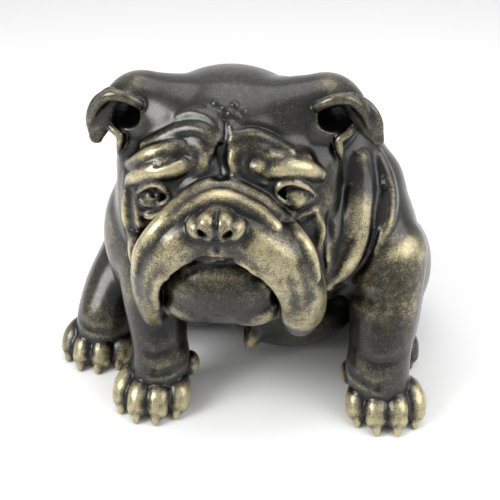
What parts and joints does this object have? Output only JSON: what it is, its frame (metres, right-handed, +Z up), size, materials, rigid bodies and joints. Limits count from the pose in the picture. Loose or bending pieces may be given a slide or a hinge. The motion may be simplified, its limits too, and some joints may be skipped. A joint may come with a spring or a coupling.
{
  "type": "bulldog statue",
  "caption": "Seated bulldog garden statue, one hollow casting with a wrinkled face, a wide drooping muzzle and folded ears, in antique bronze; it stands on its paws and rump.",
  "frame": {"origin": "middle of the statue's bounding box, on the floor", "axes": "the dog faces -Y, +X is the dog's left side, +Z is up"},
  "size_m": [0.399, 0.3834, 0.3292],
  "materials": {
    "antique_bronze": "cast resin painted as antique bronze: near-black brown in the creases, soft grey sheen on the broad forms, gold rubbed on the raised folds, nose, ears and toes"
  },
  "bodies": {
    "root": {"bulldog": "antique_bronze"}
  },
  "joints": []
}
